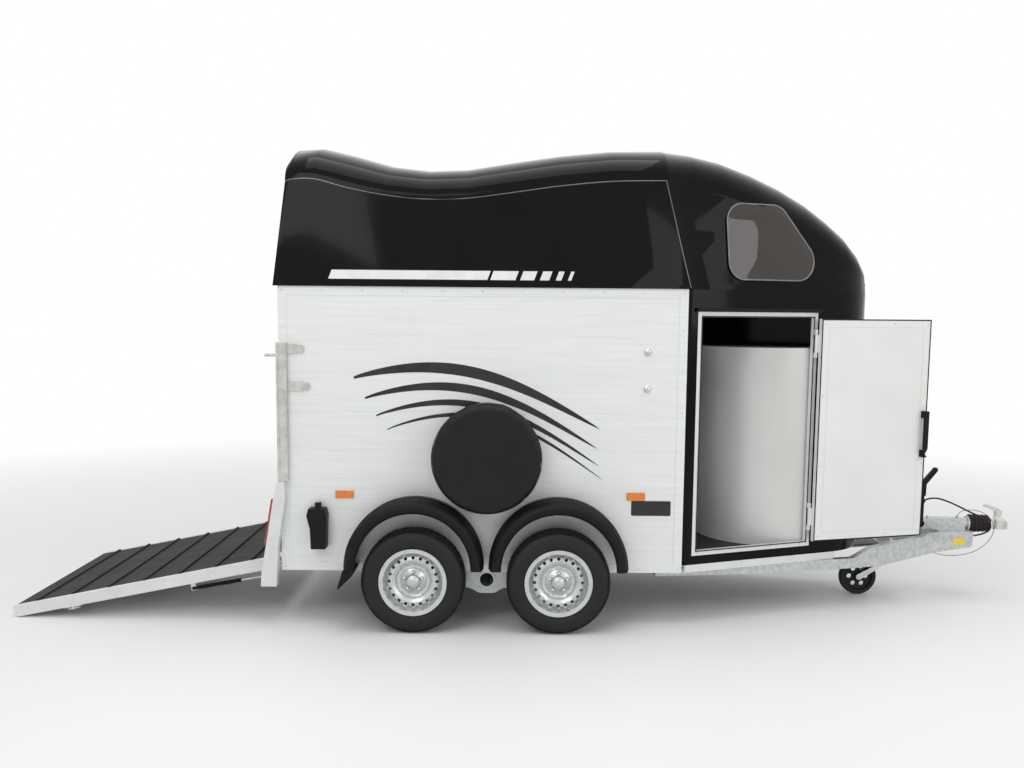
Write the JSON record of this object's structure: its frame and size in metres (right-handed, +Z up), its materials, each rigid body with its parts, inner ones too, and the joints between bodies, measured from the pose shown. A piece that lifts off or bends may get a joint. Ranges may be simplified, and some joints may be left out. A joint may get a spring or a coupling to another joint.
{
  "type": "horse trailer",
  "caption": "Tandem-axle horse trailer with a moulded roof and nose, planked sides, a rear ramp on gas struts, a side tack door, an overrun coupling and a jockey wheel.",
  "frame": {"origin": "on the ground, midway between the ramp's tip and the coupling's front, on the centre line", "axes": "+X forwards to the coupling, +Y to the trailer's left, +Z up"},
  "size_m": [5.8423, 1.836, 2.642],
  "materials": {
    "galvanised": "hot-dip galvanised",
    "zinc": "zinc plated",
    "floor_black": "ribbed rubber on board",
    "wall_silver": "satin anodised planks",
    "gloss_black": "glossy gelcoat",
    "trim_white": "satin white",
    "smoked": "smoked acrylic",
    "matt_black": "grained",
    "cover_vinyl": "vinyl",
    "lamp_red": "clear-coated lens",
    "lamp_amber": "clear-coated lens",
    "rubber_black": "satin",
    "cable_red": "plastic-coated wire",
    "mat_rubber": "ribbed",
    "door_white": "satin white",
    "locker_grey": "satin grey",
    "tyre_rubber": "treaded",
    "rim_steel": "silver painted steel",
    "jockey_tyre": "solid rubber on a moulded wheel"
  },
  "bodies": {
    "trailer": {"chassis": "galvanised", "drawbar": "galvanised", "axles": "galvanised", "floor": "floor_black", "side_wall_right": "wall_silver", "side_wall_left": "wall_silver", "nose_shell": "gloss_black", "roof_shell": "gloss_black", "nose_sills": "trim_white", "door_frame": "trim_white", "windows": "smoked", "breast_bar": "matt_black", "rear_posts": "zinc", "lamp_carriers": "trim_white", "tail_lamps": "lamp_red", "mudguards": "matt_black", "spare_wheel": "cover_vinyl", "wheel_chock": "matt_black", "side_markers": "lamp_amber", "coupling_head": "zinc", "overrun_housing": "galvanised", "bellows": "rubber_black", "handbrake": "matt_black", "jockey_column": "zinc", "power_cable": "rubber_black", "cable_plug": "matt_black", "breakaway_cable": "cable_red", "tack_locker": "locker_grey"},
    "ramp": {"ramp_deck": "trim_white", "ramp_mat": "mat_rubber", "ramp_latches": "zinc"},
    "strut_tube_right": {"strut_tube_right": "gloss_black"},
    "strut_tube_left": {"strut_tube_left": "gloss_black"},
    "strut_rod_right": {"strut_rod_right": "zinc"},
    "strut_rod_left": {"strut_rod_left": "zinc"},
    "tack_door": {"tack_door": "door_white", "door_handle": "matt_black"},
    "jockey_leg": {"jockey_leg": "zinc"},
    "jockey_fork": {"jockey_fork": "zinc"},
    "jockey_wheel": {"jockey_wheel": "jockey_tyre"},
    "wheel_front_right": {"tyre_front_right": "tyre_rubber", "rim_front_right": "rim_steel"},
    "wheel_front_left": {"tyre_front_left": "tyre_rubber", "rim_front_left": "rim_steel"},
    "wheel_rear_right": {"tyre_rear_right": "tyre_rubber", "rim_rear_right": "rim_steel"},
    "wheel_rear_left": {"tyre_rear_left": "tyre_rubber", "rim_rear_left": "rim_steel"}
  },
  "joints": [
    {"name": "wheel_spin_front_right", "type": "hinge", "parent": "trailer", "child": "wheel_front_right", "pos_m": [0.095, -0.8275, 0.2805], "axis": [0, 1, 0], "continuous": true},
    {"name": "wheel_spin_front_left", "type": "hinge", "parent": "trailer", "child": "wheel_front_left", "pos_m": [0.095, 0.8275, 0.2805], "axis": [0, 1, 0], "continuous": true},
    {"name": "wheel_spin_rear_right", "type": "hinge", "parent": "trailer", "child": "wheel_rear_right", "pos_m": [-0.685, -0.8275, 0.2805], "axis": [0, 1, 0], "continuous": true},
    {"name": "wheel_spin_rear_left", "type": "hinge", "parent": "trailer", "child": "wheel_rear_left", "pos_m": [-0.685, 0.8275, 0.2805], "axis": [0, 1, 0], "continuous": true},
    {"name": "ramp_hinge", "type": "hinge", "parent": "trailer", "child": "ramp", "pos_m": [-1.495, 0, 0.3], "axis": [0, 1, 0], "range_deg": [0, 101]},
    {"name": "strut_swing_right", "type": "hinge", "parent": "ramp", "child": "strut_tube_right", "pos_m": [-1.93311, -0.643, 0.17084], "axis": [0, 1, 0], "range_deg": [-3.33, 1]},
    {"name": "strut_slide_right", "type": "slide", "parent": "strut_tube_right", "child": "strut_rod_right", "axis": [0.9838, 0, 0.1792], "range_m": [0, 0.0841]},
    {"name": "strut_swing_left", "type": "hinge", "parent": "ramp", "child": "strut_tube_left", "pos_m": [-1.93311, 0.643, 0.17084], "axis": [0, 1, 0], "range_deg": [-3.33, 1]},
    {"name": "strut_slide_left", "type": "slide", "parent": "strut_tube_left", "child": "strut_rod_left", "axis": [0.9838, 0, 0.1792], "range_m": [0, 0.0841]},
    {"name": "tack_door_hinge", "type": "hinge", "parent": "trailer", "child": "tack_door", "pos_m": [1.55441, -0.4103, 1], "axis": [0, 0, 1], "range_deg": [-174, 0]},
    {"name": "jockey_wind", "type": "slide", "parent": "trailer", "child": "jockey_leg", "axis": [0, 0, 1], "range_m": [0, 0.1]},
    {"name": "jockey_swivel", "type": "hinge", "parent": "jockey_leg", "child": "jockey_fork", "pos_m": [2.128, 0, 0.2], "axis": [0, 0, 1], "continuous": true},
    {"name": "jockey_spin", "type": "hinge", "parent": "jockey_fork", "child": "jockey_wheel", "pos_m": [1.989, 0, 0.112], "axis": [0, 1, 0], "continuous": true}
  ],
  "couplings": [
    {"joint": "strut_swing_right", "follows": "ramp_hinge", "ratio": -0.03259},
    {"joint": "strut_slide_right", "follows": "ramp_hinge", "m_per_rad": 0.047224},
    {"joint": "strut_swing_left", "follows": "ramp_hinge", "ratio": -0.03259},
    {"joint": "strut_slide_left", "follows": "ramp_hinge", "m_per_rad": 0.047224}
  ]
}
